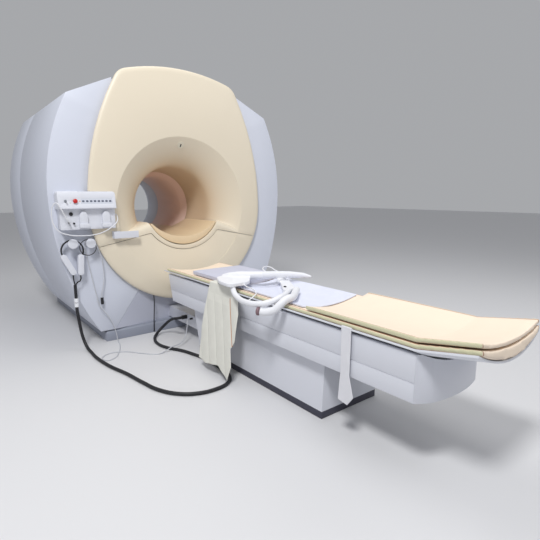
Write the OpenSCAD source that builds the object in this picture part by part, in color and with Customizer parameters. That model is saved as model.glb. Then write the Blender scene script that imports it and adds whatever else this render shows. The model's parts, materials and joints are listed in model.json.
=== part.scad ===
// Closed-bore MRI scanner with its patient table.
// Millimetres, Z up, X across, Y into the bore. The origin is on the floor under the
// middle of the bore, the front plane is at negative Y and the table runs on from it.

/* [Patient bore] */
// Height of the bore axis above the floor
axis_z = 1143; // [1120:1:1160]
// Inner radius of the bore liner
bore_r = 300; // [285:1:310]
// Half length of the liner
liner_half = 323; // [300:1:340]
// Wall of the liner
liner_wall = 5; // [3:1:7]
// Radius where the front funnel meets the liner
throat_r = 346; // [340:1:352]
// Radius of the funnel where its bell begins
neck_r = 385; // [380:1:392]
// Radius of the flare at the front face
flare_r = 634; // [610:1:640]
// Radius of the rear mouth
rear_mouth_r = 480; // [440:1:520]

/* [Scanner covers] */
// Half depth of the scanner between its front and rear planes
half_depth = 915; // [900:1:960]
// Wall of the moulded covers
wall = 6; // [5:0.5:8]
// How far the front cover stands proud of the front plane
proud = 45; // [38:1:60]
// Half width of the side covers at their widest
flank_x = 1141; // [1120:1:1180]
// Height of the widest place
flank_z = 1268; // [1220:1:1300]
// Bulge radius of the side covers above the widest place
upper_flank_r = 1660; // [1600:10:1750]
// Bulge radius of the side covers below the widest place
lower_flank_r = 2250; // [2150:10:2400]
// Half width of the top cover
top_cover_x = 595; // [570:1:610]
// Height of the roof where it meets the top cover
roof_z = 2200; // [2190:1:2230]
// Slope of the roof in degrees
roof_slope = 24.7; // [20:0.1:28]
// Depth at which the front and rear side covers meet
panel_joint_y = 285; // [100:1:400]
// Gap between neighbouring covers
cover_gap = 4; // [2:0.5:6]

/* [Front cover] */
// Radius of the round lower half
cream_r = 856; // [840:1:870]
// Bulge radius of the upper flanks
cream_flank_r = 2200; // [2100:10:2400]
// Radius of the arched top edge
cream_top_r = 1750; // [1650:10:1900]
// Height of the arched top edge
cream_top_z = 2352; // [2330:1:2380]
// Radius of the top corners
cream_corner_r = 150; // [130:1:170]
// Radius of the scalloped lip under the opening
lip_r = 429; // [420:1:436]
// Depth of the round recess in the lower cover
disc_step = 4; // [2:0.5:5]

/* [Base] */
// Half width of the base plate
base_x = 771; // [740:1:772]
// Height of the base plate
base_h = 90; // [70:1:110]
// Height of the shadow step above it
base_step = 10; // [6:1:16]

/* [Bore bridge] */
// Height of the centre of the bridge's underside arc
bridge_z = 1191; // [1185:1:1200]
// Radius of the bridge's underside
bridge_r = 385; // [380:1:388]
// Radius of the bridge's upper face
bridge_top_r = 460; // [440:1:480]
// Thickness of the bridge in the middle
bridge_t = 70; // [50:1:80]
// Gap between the bridge and the lip under it
bridge_gap = 8; // [4:1:10]

/* [Control box] */
// Left side of the box
box_left = -1098; // [-1110:1:-1085]
// Right side of the box
box_right = -662; // [-680:1:-650]
// Lower edge of the sloping panel
panel_foot_z = 1151; // [1146:1:1165]
// How far the lower edge of the sloping panel stands out from the front plane
panel_out = 130; // [120:1:145]
// Height of the sloping panel along its face
panel_h = 139; // [130:1:150]
// Slope of the panel from upright
panel_tilt = 10.3; // [6:0.1:14]
// Lower edge of the recessed part with the hand units
box_foot_z = 990; // [985:1:995]
// How far the recessed part stands out from the front plane
box_out = 85; // [75:1:95]
// Radius of the stop button's head
stop_r = 17; // [15:0.5:20]
// Travel of the stop button
stop_travel = 5; // [3:0.5:6]
// Width of a hand unit
handset_w = 60; // [50:1:62]
// Height of a hand unit
handset_h = 122; // [105:1:124]

/* [Hooks and headphones] */
// Radius of a cable hook's disc
hook_r = 38; // [34:1:42]
// Radius of a cable hook's stem
hook_stem_r = 22; // [18:1:24]
// How far a cable hook stands out from the front plane
hook_out = 90; // [80:1:100]
// Inner radius of the headphones' band
band_r = 79; // [76:1:84]
// Thickness of the headphones' band
band_t = 8; // [5:0.5:10]
// Radius of a headphone cup
cup_r = 22; // [18:0.5:22.5]
// Diameter of the headset hose
hose_d = 25; // [20:1:26]
// Diameter of the hook cable and the handset cord
cable_d = 8; // [6:0.5:9]

/* [Magnet] */
// Outer radius of the cryostat
vessel_r = 935; // [900:1:940]
// Radius of the cryostat's warm bore
warm_bore_r = 448; // [446:1:460]
// Half length of the cryostat
vessel_half = 750; // [700:1:770]
// Inner radius of the gradient coil
gradient_in_r = 386; // [384:1:400]
// Wall of the gradient coil
gradient_wall = 54; // [40:1:56]
// Number of rungs in the body coil
rungs = 16; // [8:4:24]

/* [Patient table] */
// Half width of the table's beam
beam_x = 270; // [250:1:275]
// Underside of the beam at rest
beam_z = 345; // [340:1:370]
// Top edge of the beam's covers
beam_top_z = 575; // [560:1:580]
// Gap between the front cover and the head end of the beam
table_gap = 170; // [150:1:190]
// Length of the beam's side covers along their top edge
beam_len = 2475; // [2400:1:2485]
// How far the head end of the beam leans out at its foot
beam_lean = 69; // [40:1:80]
// Half width of the tabletop
top_x = 285; // [280:1:295]
// Height of the tabletop's rim
rim_z = 607; // [600:1:615]
// Depth of the tabletop's trough
trough = 72; // [60:1:74]
// Thickness of the tabletop
top_t = 10; // [8:0.5:12]
// Length of the level part of the tabletop
top_len = 2540; // [2520:1:2560]
// Length of the rising foot end
kink_len = 285; // [200:1:320]
// Rise of the foot end in degrees
kink_rise = 11; // [6:0.5:14]

/* [Pads and coil] */
// Half width of the mattress
mattress_x = 278; // [270:1:279]
// Height of the mattress at its edges
mattress_z = 632; // [628:1:636]
// Height of the mattress in the middle
mattress_mid = 590; // [580:1:600]
// Thickness of the folded mat over the foot end
fold_t = 28; // [20:1:35]
// Half width of the head pad
head_pad_x = 235; // [220:1:240]
// Height of the head pad's flat top
head_pad_z = 655; // [645:1:658]
// Thickness of the flat pad
flat_pad_t = 14; // [8:1:16]
// Diameter of the coil's hoop
hoop_d = 38; // [32:1:40]
// Diameter of the coil's tail
tail_d = 48; // [40:1:50]

/* [Pedestal] */
// Half width of the pedestal's foot
pedestal_x = 238; // [232:1:245]
// Half width of the pedestal's top
pedestal_top_x = 215; // [212:1:222]
// Gap between the head ends of the beam and of the pedestal
pedestal_in = 470; // [440:1:500]
// Length of the pedestal at the floor
pedestal_len = 1410; // [1380:1:1440]
// How far the head end leans out at the top
pedestal_lean = 120; // [80:1:140]
// Thickness of the pedestal's base plate
table_plate_h = 45; // [30:1:50]
// Outer radius of a lifting column
column_r = 70; // [60:1:80]

/* [Hidden] */
$fn = 96;

// Clearance between pieces that lie on or in each other
seat = 0.3;
// Clearance round a stem or a key that moves in its hole
fit = 0.05;
// A length past every piece, for cutting
far = 3000;
// Clear space for a cut to run past a face
past = 5;
// Thickness of a slice that a hull is drawn over
slice = 0.5;
// Number of sides for large round outlines
fine = 360;

// Places along the depth, from the front plane out to the table
front_y = -half_depth;
face_y = front_y - proud;
panel_foot_y = front_y - panel_out;
box_front_y = front_y - box_out;
hook_front = front_y - hook_out;
band_y = front_y - 46;
beam_head_y = face_y - table_gap;
beam_foot_y = beam_head_y - beam_len;
end_tip_y = beam_foot_y - 71;
top_head_y = beam_head_y + 50;
kink_y = top_head_y - top_len;
pedestal_head_y = beam_head_y - pedestal_in;
pedestal_foot_y = pedestal_head_y - pedestal_len;

cover_foot_z = base_h + base_step;
cream_flank_c = [cream_r - cream_flank_r, axis_z];
cream_top_c = [0, cream_top_z - cream_top_r];
cream_corner_c = circles_meet(cream_flank_c, cream_flank_r - cream_corner_r,
    cream_top_c, cream_top_r - cream_corner_r);
top_arch_r = cream_top_r - 60;
liner_cone = 93;
trough_r = (top_x * top_x + trough * trough) / (2 * trough);
trough_z = rim_z - top_t - trough;
dish_r = (mattress_x * mattress_x + pow(mattress_z - mattress_mid, 2))
    / (2 * (mattress_z - mattress_mid));

// The point above the line between two centres at which two circles meet
function circles_meet(c1, r1, c2, r2) =
    let (d = c2 - c1, l = norm(d), a = (r1 * r1 - r2 * r2 + l * l) / (2 * l),
         h = sqrt(r1 * r1 - a * a), e = d / l)
    c1 + a * e + h * [-e[1], e[0]];

// Points of an arc about c from angle a to angle b
function arc(c, r, a, b, n) =
    [for (i = [0:n]) c + r * [cos(a + (b - a) * i / n), sin(a + (b - a) * i / n)]];

function angle_to(c, p) = atan2(p[1] - c[1], p[0] - c[0]);

// Right half of the front cover's outline, set in by d, from the bottom to the top
function cream_half(d) =
    let (a = angle_to(cream_flank_c, cream_corner_c), b = angle_to(cream_top_c, cream_corner_c))
    concat(arc([0, axis_z], cream_r - d, -90, 0, 16),
        arc(cream_flank_c, cream_flank_r - d, 1, a - 0.5, 7),
        arc(cream_corner_c, cream_corner_r - d, a, b, 6),
        arc(cream_top_c, cream_top_r - d, b + 1, 90, 6));

function mirrored(p) = [for (i = [len(p) - 2:-1:1]) [-p[i][0], p[i][1]]];

function cream_outline(d) = concat(cream_half(d), mirrored(cream_half(d)));

// Carries a flat outline in X and Z from depth y0 to depth y1
module along_y(y0, y1) {
    translate([0, y1, 0]) rotate([90, 0, 0]) linear_extrude(y1 - y0) children();
}

// Turns a flat outline of radius and depth about the bore's axis
module about_bore() {
    translate([0, 0, axis_z]) rotate([-90, 0, 0]) rotate_extrude() children();
}

module on_both_sides() {
    children();
    mirror([1, 0, 0]) children();
}

// A round bar along the depth, from y0 to y1
module bar_y(x, z, r, y0, y1) {
    translate([x, y1, z]) rotate([90, 0, 0]) cylinder(h = y1 - y0, r = r);
}

// A block given by its lowest and its highest corner
module block(low, high) {
    translate(low) cube(high - low);
}

// A flat bar between two points, round at both ends
module capsule(p, q, r) {
    side = r * [q[1] - p[1], p[0] - q[0]] / norm(q - p);
    translate(p) circle(r);
    translate(q) circle(r);
    polygon([p + side, q + side, q - side, p - side]);
}

// A rectangle with round corners
module round_rect(low, high, r) {
    translate([low[0] + r, low[1]]) square([high[0] - low[0] - 2 * r, high[1] - low[1]]);
    translate([low[0], low[1] + r]) square([high[0] - low[0], high[1] - low[1] - 2 * r]);
    for (x = [low[0] + r, high[0] - r], y = [low[1] + r, high[1] - r])
        translate([x, y]) circle(r);
}

// An outline with each corner drawn as a short curve
function softened(p, share) =
    let (n = len(p))
    [for (i = [0:n - 1], t = [0, 0.33, 0.67, 1])
        let (a = p[i] + share * (p[(i + n - 1) % n] - p[i]), b = p[i],
             c = p[i] + share * (p[(i + 1) % n] - p[i]))
        (1 - t) * (1 - t) * a + 2 * t * (1 - t) * b + t * t * c];

/* Tubes swept along the points of a route */

function unit(v) = v / norm(v);
function heading(p, i) = unit(p[min(i + 1, len(p) - 1)] - p[max(i - 1, 0)]);
function turned(p, i, before) = unit(before - (before * heading(p, i)) * heading(p, i));
function sideways(p, i, before) =
    i == len(p) ? [] : let (a = turned(p, i, before)) concat([a], sideways(p, i + 1, a));

// Points of a smooth curve through a route, n to each stretch
function curved(a, b, c, d, t) =
    b + t / 2 * (c - a) + t * t / 2 * (2 * a - 5 * b + 4 * c - d)
    + t * t * t / 2 * (3 * b - 3 * c + d - a);
function smoothed(p, n) =
    let (last = len(p) - 1)
    concat([for (i = [0:last - 1], k = [0:n - 1])
        curved(p[max(i - 1, 0)], p[i], p[i + 1], p[min(i + 2, last)], k / n)], [p[last]]);

// The diameter d is one number, or a list with one for each point
module tube(route, d, sides) {
    n = len(route);
    across = sideways(route, 0, [0.9, 0.3, 0.2]);
    points = [for (i = [0:n - 1], k = [0:sides - 1])
        let (a = across[i], b = cross(heading(route, i), a), t = 360 * k / sides,
             r = (is_list(d) ? d[i] : d) / 2)
        route[i] + r * (cos(t) * a + sin(t) * b)];
    walls = [for (i = [0:n - 2], k = [0:sides - 1], half = [0, 1])
        let (k2 = (k + 1) % sides, here = i * sides, next = here + sides)
        half == 0 ? [here + k, next + k, next + k2] : [here + k, next + k2, here + k2]];
    first = [for (k = [0:sides - 1]) k];
    last = [for (k = [sides - 1:-1:0]) (n - 1) * sides + k];
    polyhedron(points, concat([first], walls, [last]));
}

/* Routes of the cords, from the end at the scanner */

hose_r = hose_d / 2;
hose_route = [[-1005, -961, 360.7], [-1005, -961, 335], [-1000, -962, 280],
    [-993, -966, 200], [-984, -976, 120], [-972, -1000, 55], [-965, -1045, 22],
    [-963, -1130, hose_r], [-966, -1270, hose_r], [-940, -1510, hose_r],
    [-890, -1730, hose_r], [-858, -1930, hose_r], [-816, -2115, hose_r],
    [-735, -2245, hose_r], [-645, -2305, hose_r], [-530, -2325, hose_r],
    [-417, -2297, hose_r], [-345, -2214, hose_r], [-315, -2060, hose_r],
    [-311, -1811, hose_r], [-335, -1690, hose_r], [-370, -1555, hose_r],
    [-440, -1400, hose_r], [-458, -1278, hose_r], [-425, -1130, hose_r],
    [-375, -1050, 20], [-325, -1020, 46], [-285, -1040, 90], [-265, -1100, 140],
    [-255, -1170, 172], [-245, -1222, 186], [-225, -1229, 188], [-205.3, -1229, 188]];

cable_r = cable_d / 2;
hook_cable_route = [[-795, -940, 402.3], [-795, -940, 430], [-782, -941, 490],
    [-769, -942, 560], [-768, -942, 640], [-782, -942, 760], [-810, -942, 845],
    [-841, -942, 888], [-855, -942, 900], [-869, -942, 904], [-884, -942, 900],
    [-897, -942, 886], [-901, -942, 860], [-901, -942, 820], [-893, -943, 750],
    [-868, -944, 600], [-842, -948, 440], [-822, -950, 340], [-758, -941, 240],
    [-710, -938, 130], [-692, -938, 60], [-690, -950, 18], [-696, -990, cable_r],
    [-715, -1080, cable_r], [-785, -1251, cable_r], [-860, -1355, cable_r],
    [-915, -1366, cable_r], [-932, -1320, cable_r], [-910, -1262, cable_r],
    [-845, -1226, cable_r], [-745, -1257, cable_r], [-639, -1388, cable_r],
    [-541, -1480, cable_r], [-480, -1474, 14], [-415, -1460, 31], [-355, -1432, 24],
    [-300, -1405, 30], [-250, -1375, 66], [-222, -1350, 120], [-208, -1334, 160],
    [-200, -1324, 182], [-190, -1320, 190], [-176.3, -1320, 190]];

handset_cord_route = [[-661.7, -980, 1102], [-650, -980, 1102], [-641, -990, 1080],
    [-655, -1020, 1045], [-705, -1043, 1005], [-780, -1048, 965], [-850, -1052, 948],
    [-940, -1052, 944], [-1040, -1045, 956], [-1105, -1035, 985], [-1138, -1030, 1035],
    [-1148, -1034, 1107], [-1136, -1044, 1180], [-1116, -1056, 1200], [-1092, -1062, 1165],
    [-1065, -1060, 1110], [-1042, -1052, 1066], [-1030, -1040, 1050], [-1025, -1030, 1047],
    [-1025, -1018.3, 1047]];

drop_cable_d = 9;
drop_cable_route = [[-322, -906, 440], [-322, -907, 400], [-322, -907, 352],
    [-324, -914, 335], [-326, -922, 300], [-332, -924, 200], [-338, -924, 100],
    [-340, -925, 50], [-340.5, -926, 28], [-341, -924, 14], [-341, -915.3, 14]];

/* Scanner: base and covers */

module base_plate() {
    bevel = 12;
    shrink = 16;
    color("#969ba8") {
        intersection() {
            along_y(front_y, half_depth)
                polygon([[-base_x, 0], [base_x, 0], [base_x, base_h - bevel],
                    [base_x - bevel, base_h], [bevel - base_x, base_h],
                    [-base_x, base_h - bevel]]);
            translate([-base_x, 0, 0]) rotate([90, 0, 90]) linear_extrude(2 * base_x)
                polygon([[front_y, 0], [half_depth, 0], [half_depth, base_h - bevel],
                    [half_depth - bevel, base_h], [front_y + bevel, base_h],
                    [front_y, base_h - bevel]]);
        }
        block([shrink - base_x, front_y + shrink, base_h],
            [base_x - shrink, half_depth - shrink, cover_foot_z]);
    }
}

// Right side cover's outline in X and Z, set in by d
module side_outline(d) {
    roof = tan(roof_slope);
    drop = d / cos(roof_slope);
    intersection() {
        union() {
            intersection() {
                translate([flank_x - upper_flank_r, flank_z]) circle(upper_flank_r - d, $fn = 360);
                translate([0, flank_z]) square([2 * flank_x, 2 * flank_x]);
            }
            intersection() {
                translate([flank_x - lower_flank_r, flank_z]) circle(lower_flank_r - d, $fn = 360);
                translate([0, cover_foot_z]) square([2 * flank_x, flank_z - cover_foot_z]);
            }
        }
        polygon([[0, 0], [2 * flank_x, 0],
            [2 * flank_x, roof_z - drop - roof * (2 * flank_x - top_cover_x)],
            [0, roof_z - drop + roof * top_cover_x]]);
    }
}

// Ledge under the edge of the top cover, and the web that carries it
ledge_w = 35;
module roof_ledge() {
    under = top_arch_r - wall - seat;
    intersection() {
        translate(cream_top_c) difference() {
            circle(under, $fn = 360);
            circle(under - wall, $fn = 360);
        }
        translate([top_cover_x - ledge_w, axis_z])
            square([ledge_w + cover_gap / 2 + wall, 2 * axis_z]);
    }
    foot = cream_top_c[1] + sqrt(pow(under - wall, 2) - pow(top_cover_x + wall, 2));
    translate([top_cover_x + cover_gap / 2, foot])
        square([wall, roof_z - wall / 2 - foot]);
}

module side_wall(y0, y1) {
    along_y(y0, y1) {
        intersection() {
            difference() {
                side_outline(0);
                side_outline(wall);
            }
            translate([top_cover_x + cover_gap / 2, 0]) square([far, far]);
        }
        roof_ledge();
    }
}

// The sunken lower panel: half widths at the covers' foot and under the front cover
panel_low = [688, cover_foot_z];
panel_high = [407, 500];
valley_low_y = front_y + 91;
valley_high_y = front_y + 54;

module panel_area(grow) {
    low = panel_low[0] + grow;
    high = panel_high[0] + grow;
    polygon([[-low, panel_low[1] - past], [low, panel_low[1] - past], [low, panel_low[1]],
        [high, panel_high[1]], [-high, panel_high[1]], [-low, panel_low[1]]]);
}

module front_wall() {
    under_cream = 95;
    along_y(front_y, front_y + wall) difference() {
        intersection() {
            side_outline(0);
            translate([cover_gap / 2, 0]) square([far, far]);
        }
        polygon(cream_outline(under_cream));
        panel_area(cover_gap / 2);
        difference() {
            translate([0, axis_z]) square([top_cover_x + cover_gap / 2, far]);
            translate(cream_top_c) circle(top_arch_r - wall - seat, $fn = 360);
        }
    }
}

module side_cover_front() {
    color("#c1c4d2") union() {
        side_wall(front_y, panel_joint_y - cover_gap / 2);
        front_wall();
    }
}

module side_cover_rear() {
    color("#c1c4d2") side_wall(panel_joint_y + cover_gap / 2, half_depth - seat);
}

module side_cover_left() { mirror([1, 0, 0]) side_cover_front(); }
module side_cover_right() { side_cover_front(); }
module side_cover_rear_left() { mirror([1, 0, 0]) side_cover_rear(); }
module side_cover_rear_right() { side_cover_rear(); }

// Space in front of the sunken panel, moved back by d
module valley(d) {
    front = face_y;
    translate([0, d, 0]) hull() {
        translate([0, 0, panel_low[1]]) linear_extrude(slice)
            polygon([[-panel_low[0], front_y], [0, valley_low_y], [panel_low[0], front_y],
                [panel_low[0], front - d], [-panel_low[0], front - d]]);
        translate([0, 0, panel_high[1] - slice]) linear_extrude(slice)
            polygon([[-panel_high[0], front_y], [0, valley_high_y], [panel_high[0], front_y],
                [panel_high[0], front - d], [-panel_high[0], front - d]]);
    }
}

module lower_front_panel() {
    behind_cream = 60;
    color("#aeb2c0") difference() {
        intersection() {
            valley(wall);
            along_y(front_y, half_depth) difference() {
                translate([-far, cover_foot_z]) square([2 * far, far]);
                translate([0, axis_z]) circle(cream_r - behind_cream, $fn = 180);
            }
        }
        valley(0);
    }
}

module top_cover() {
    color("#d4d7e0") difference() {
        along_y(front_y, half_depth - seat) intersection() {
            translate(cream_top_c) difference() {
                circle(top_arch_r, $fn = 360);
                circle(top_arch_r - wall, $fn = 360);
            }
            translate([-top_cover_x, axis_z]) square([2 * top_cover_x, far]);
        }
        translate([0, quench_y, axis_z]) cylinder(h = far, r = quench_r + 2);
    }
}

/* Scanner: front covers with the funnel */

flange_in = 12;
flange_w = 80;
// Share of the way back to the front plane, and how far the outline is set in there
edge_slices = [[0, 6], [0.45, 0], [0.75, 7], [0.92, 20], [1, 42]];

// The cream covers' rounded outer body, set in by d all round
module cream_body(d) {
    depth = proud - wall;
    hull() for (s = edge_slices)
        let (y = face_y + d + (1 - s[0]) * (depth - 2 * d - slice))
            along_y(y, y + slice) polygon(cream_outline(s[1] + d));
}

// Funnel radius: bell from the front face to the neck, then a cone to the throat
bell_power = 1.6;
bell_end_y = front_y + 215;
function bell_r(y) =
    neck_r + (flare_r - neck_r) * pow((bell_end_y - y) / (bell_end_y - face_y), bell_power);
bell_points = [for (i = [0:12])
    let (y = face_y + pow(i / 12, 1.3) * (bell_end_y - face_y)) [bell_r(y), y]];
funnel_profile = concat(bell_points, [[throat_r, -liner_half]]);

module funnel(grow) {
    about_bore() polygon(concat(
        [[0, face_y - past], [flare_r + grow + past * 4, face_y - past]],
        [for (p = funnel_profile) p + [grow, 0]], [[0, -liner_half]]));
}

// Ledges either side of the bridge: slope from a top corner down to a low corner
ledge_top = [350, 1020];
ledge_low = [700, 884];
module ledge_outline(drop) {
    polygon([[-ledge_low[0], ledge_low[1] - drop], [-ledge_low[0], 300], [ledge_low[0], 300],
        [ledge_low[0], ledge_low[1] - drop], [ledge_top[0], ledge_top[1] - drop],
        [-ledge_top[0], ledge_top[1] - drop]]);
}

// What stays closed under the ledges, rounded over at the front
module ledge_fill(grow) {
    rounding = [[0, 47], [10, 24], [28, 7], [54, 0]];
    hull() {
        for (s = rounding) along_y(face_y - slice + s[0], face_y + s[0]) ledge_outline(s[1] + grow);
        along_y(bell_end_y - grow - slice, bell_end_y - grow) ledge_outline(grow);
    }
}

module channel(grow) {
    intersection() {
        bar_y(0, bridge_z, bridge_r + bridge_gap + grow, face_y - past, bell_end_y - grow);
        block([-bridge_r - 2 * wall, face_y - past, 0], [bridge_r + 2 * wall, 0, bridge_z - 140]);
    }
}

module opening(grow) {
    difference() {
        funnel(grow);
        ledge_fill(grow);
    }
    channel(grow);
}

// The seam between the two front covers
seam_out = [900, 812];
seam_in = [359, 923];
module upper_region(grow) {
    polygon([[-seam_in[0], seam_in[1] - grow], [-seam_out[0], seam_out[1] - grow],
        [-seam_out[0], far], [seam_out[0], far], [seam_out[0], seam_out[1] - grow],
        [seam_in[0], seam_in[1] - grow]]);
    translate([0, bridge_z]) circle(lip_r + grow, $fn = 180);
}

module cream_shell() {
    difference() {
        union() {
            cream_body(0);
            along_y(front_y - wall, front_y - seat) polygon(cream_outline(flange_in));
        }
        difference() {
            cream_body(wall);
            along_y(face_y, face_y + wall + disc_step)
                translate([0, axis_z]) circle(flare_r + wall, $fn = 180);
        }
        along_y(front_y - 2 * wall, front_y + past) polygon(cream_outline(flange_in + flange_w));
    }
}

module front_cover_upper() {
    color("#dcd4bc") difference() {
        union() {
            intersection() {
                cream_shell();
                along_y(face_y - past, front_y + past) upper_region(0);
            }
            intersection() {
                opening(wall);
                along_y(face_y, -liner_half) square([2 * far, 2 * far], center = true);
            }
        }
        opening(0);
    }
}

module front_cover_lower() {
    color("#dcd4bc") difference() {
        cream_shell();
        along_y(face_y - past, front_y + past) upper_region(cover_gap);
        bar_y(0, axis_z, flare_r, face_y - past, face_y + disc_step);
    }
}

module rear_cover() {
    mouth = [[bore_r, liner_half], [bore_r + 40, half_depth - 215],
        [bore_r + 80, half_depth - 95], [rear_mouth_r, half_depth + wall]];
    color("#d4d7e0") difference() {
        union() {
            along_y(half_depth, half_depth + wall) difference() {
                on_both_sides() side_outline(2 * wall);
                translate([-far, roof_z - wall]) square([2 * far, far]);
            }
            along_y(half_depth, half_depth + wall) intersection() {
                translate(cream_top_c) circle(top_arch_r, $fn = 360);
                translate([-top_cover_x, axis_z]) square([2 * top_cover_x, far]);
            }
            about_bore() polygon(concat([[0, liner_half]], [for (p = mouth) p + [wall, 0]],
                [[0, half_depth + wall]]));
        }
        about_bore() polygon(concat([[0, liner_half - past]], [[bore_r, liner_half - past]], mouth,
            [[rear_mouth_r, half_depth + far], [0, half_depth + far]]));
    }
}

module bore_liner() {
    inner = [[throat_r, -liner_half], [bore_r, liner_cone - liner_half], [bore_r, liner_half]];
    outer = [for (i = [len(inner) - 1:-1:0]) inner[i] + [liner_wall, 0]];
    color("#c9aca0") about_bore() polygon(concat(inner, outer));
}

module bore_bridge() {
    top_c = bridge_z - bridge_r + bridge_t + bridge_top_r;
    lead = 15;
    tip_z = bridge_z - 186;
    color("#cdb594") intersection() {
        along_y(face_y + lead, half_depth - 2 * lead) difference() {
            translate([0, bridge_z]) circle(bridge_r, $fn = 180);
            translate([0, top_c]) circle(bridge_top_r, $fn = 180);
            translate([-far, tip_z]) square([2 * far, far]);
        }
        bridge_space();
    }
}

// The inside of the funnel, the liner and the rear mouth, less a clearance
module bridge_space() {
    about_bore() polygon(concat(
        [[0, face_y], [flare_r, face_y]], [for (p = funnel_profile) p - [seat, 0]],
        [[bore_r - seat, liner_cone - liner_half], [bore_r - seat, half_depth],
         [0, half_depth]]));
}

// Round window of the positioning light, in the flare above the opening
light_y = face_y + 47;
light_slope = atan((bell_r(light_y - 1) - bell_r(light_y + 1)) / 2);
light_r = 34;
light_t = 3;
light_off = 1.5;
module alignment_lights() {
    color("#3a3a40") translate([0, light_y, axis_z + bell_r(light_y)])
        rotate([180 - light_slope, 0, 0]) translate([0, 0, light_off])
            cylinder(h = light_t, r = light_r);
}

/* Scanner: control box */

box_back_left = front_y - seat;
box_back_right = face_y - 2;
box_step_x = -870;
hand_x = [-915, -740];
holder_z = box_foot_z + 14;
holder_h = 34;
holder_out = 34;
hand_z = holder_z + 6;
hand_t = 22;
stop_x = -975;
stop_stem_r = 7;
key_x = -1044;
key_r = 10;
control_up = 62;
pad_low = [-932, 40];
pad_high = [-688, 84];
pad_t = 1.2;
pad_margin = 18;

// Puts a piece on the sloping panel, its face towards +Z
module on_panel(x, up) {
    translate([x, panel_foot_y, panel_foot_z]) rotate([90 - panel_tilt, 0, 0])
        translate([0, up, 0]) children();
}

module control_box() {
    top_z = panel_foot_z + panel_h * cos(panel_tilt);
    top_y = panel_foot_y + panel_h * sin(panel_tilt);
    edge = 6;
    inset = 13;
    rest_w = handset_w / 2 + 5;
    pocket_w = handset_w / 2 + seat;
    color("#d9dbe4") difference() {
        union() {
            intersection() {
                translate([box_left, 0, 0]) rotate([90, 0, 90])
                    linear_extrude(box_right - box_left)
                    polygon([[box_back_left, panel_foot_z], [panel_foot_y + edge, panel_foot_z],
                        [panel_foot_y, panel_foot_z + edge], [top_y, top_z - edge],
                        [top_y + edge, top_z], [box_back_left, top_z]]);
                along_y(panel_foot_y - past, front_y)
                    round_rect([box_left, panel_foot_z - 40], [box_right, top_z], 20);
            }
            along_y(box_front_y, box_back_left)
                round_rect([box_left + inset, box_foot_z], [box_right, panel_foot_z + 30], 10);
            for (x = hand_x) block([x - rest_w, box_front_y - holder_out, holder_z],
                [x + rest_w, box_front_y + 1, holder_z + holder_h]);
        }
        block([box_step_x, box_back_right, 0], [0, 0, far]);
        for (x = hand_x) block([x - pocket_w, box_front_y - hand_t - 2 * seat, hand_z],
            [x + pocket_w, box_front_y, panel_foot_z - past]);
        on_panel(stop_x, control_up) translate([0, 0, -40])
            cylinder(h = 60, r = stop_stem_r + fit);
        on_panel(key_x, control_up) translate([0, 0, -20]) cylinder(h = 40, r = key_r + fit);
        on_panel(0, 0) translate([0, 0, -pad_t]) linear_extrude(past)
            round_rect(pad_low - [seat, seat], pad_high + [seat, seat], 4);
        block([box_left + 150, top_y - 20, top_z - edge], [box_left + 380, top_y + 14, top_z + 1]);
    }
}

module key_pad() {
    pitch = (pad_high[0] - pad_low[0] - 2 * pad_margin) / 7;
    middle = (pad_low[1] + pad_high[1]) / 2;
    color("#8d93a4") on_panel(0, 0) {
        translate([0, 0, -pad_t]) linear_extrude(pad_t) round_rect(pad_low, pad_high, 4);
        for (i = [0:7]) translate([pad_low[0] + pad_margin + pitch * i, middle, 0])
            linear_extrude(1.5) round_rect([-9, -7], [9, 7], 3);
    }
}

module stop_button() {
    shoulder = stop_travel + 2;
    color("#c02a22") on_panel(stop_x, control_up) {
        translate([0, 0, -30]) cylinder(h = 30 + shoulder, r = stop_stem_r);
        rotate_extrude() polygon([[0, shoulder], [stop_r - 3, shoulder],
            [stop_r, shoulder + 3], [stop_r, shoulder + 6], [stop_r * 0.85, shoulder + 10],
            [stop_r * 0.5, shoulder + 12.5], [0, shoulder + 13.5]]);
    }
}

module key_switch() {
    bow_r = 11;
    color("#b9bcc4") on_panel(key_x, control_up) {
        translate([0, 0, -18]) cylinder(h = 22, r = key_r);
        translate([-1.2, -6, 4]) cube([2.4, 12, 10]);
        translate([-1.5, 0, 11 + bow_r]) rotate([0, 90, 0]) cylinder(h = 3, r = bow_r);
    }
}

// The socket of the headset and the two of the hand units
socket_low = [[-1025, 1047], [-988, 1040]];
module panel_sockets() {
    color("#26262a") {
        bar_y(-1004, 1113, 14, box_front_y - 7, box_front_y - seat);
        for (s = socket_low) bar_y(s[0], s[1], 7, box_front_y - 18, box_front_y - seat);
    }
}

module handsets() {
    color("#eceef2") for (x = hand_x)
        translate([x, box_front_y - seat, hand_z + seat]) rotate([90, 0, 0]) handset_body();
}

// A hand unit lying on its back, its foot at the origin
module handset_body() {
    w = handset_w / 2;
    linear_extrude(hand_t) polygon([[-w, 0], [w, 0], [w, handset_h - 30],
        [w - 10, handset_h - 10], [8, handset_h], [-8, handset_h],
        [10 - w, handset_h - 10], [-w, handset_h - 30]]);
}

/* Scanner: hooks, headphones and shelf */

hook_x = [-1005, -869];
hook_z = [879, 875];
disc_t = 14;
module cable_hooks() {
    color("#f1f1f4") for (i = [0, 1]) {
        bar_y(hook_x[i], hook_z[i], hook_stem_r, hook_front + past, front_y - seat);
        bar_y(hook_x[i], hook_z[i], hook_r, hook_front, hook_front + disc_t);
        bar_y(hook_x[i], hook_z[i], hook_stem_r + 10, front_y - 5, front_y - seat);
    }
}

band_z = hook_z[0] + hook_stem_r + seat - band_r;
band_w = 26;
// Middles of the cups' upper and lower ends, from the middle of the band
cup_high = [[-69, -48], [58, -54]];
cup_low = [[-8, -173], [49, -180]];
cup_w = 46;

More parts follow.
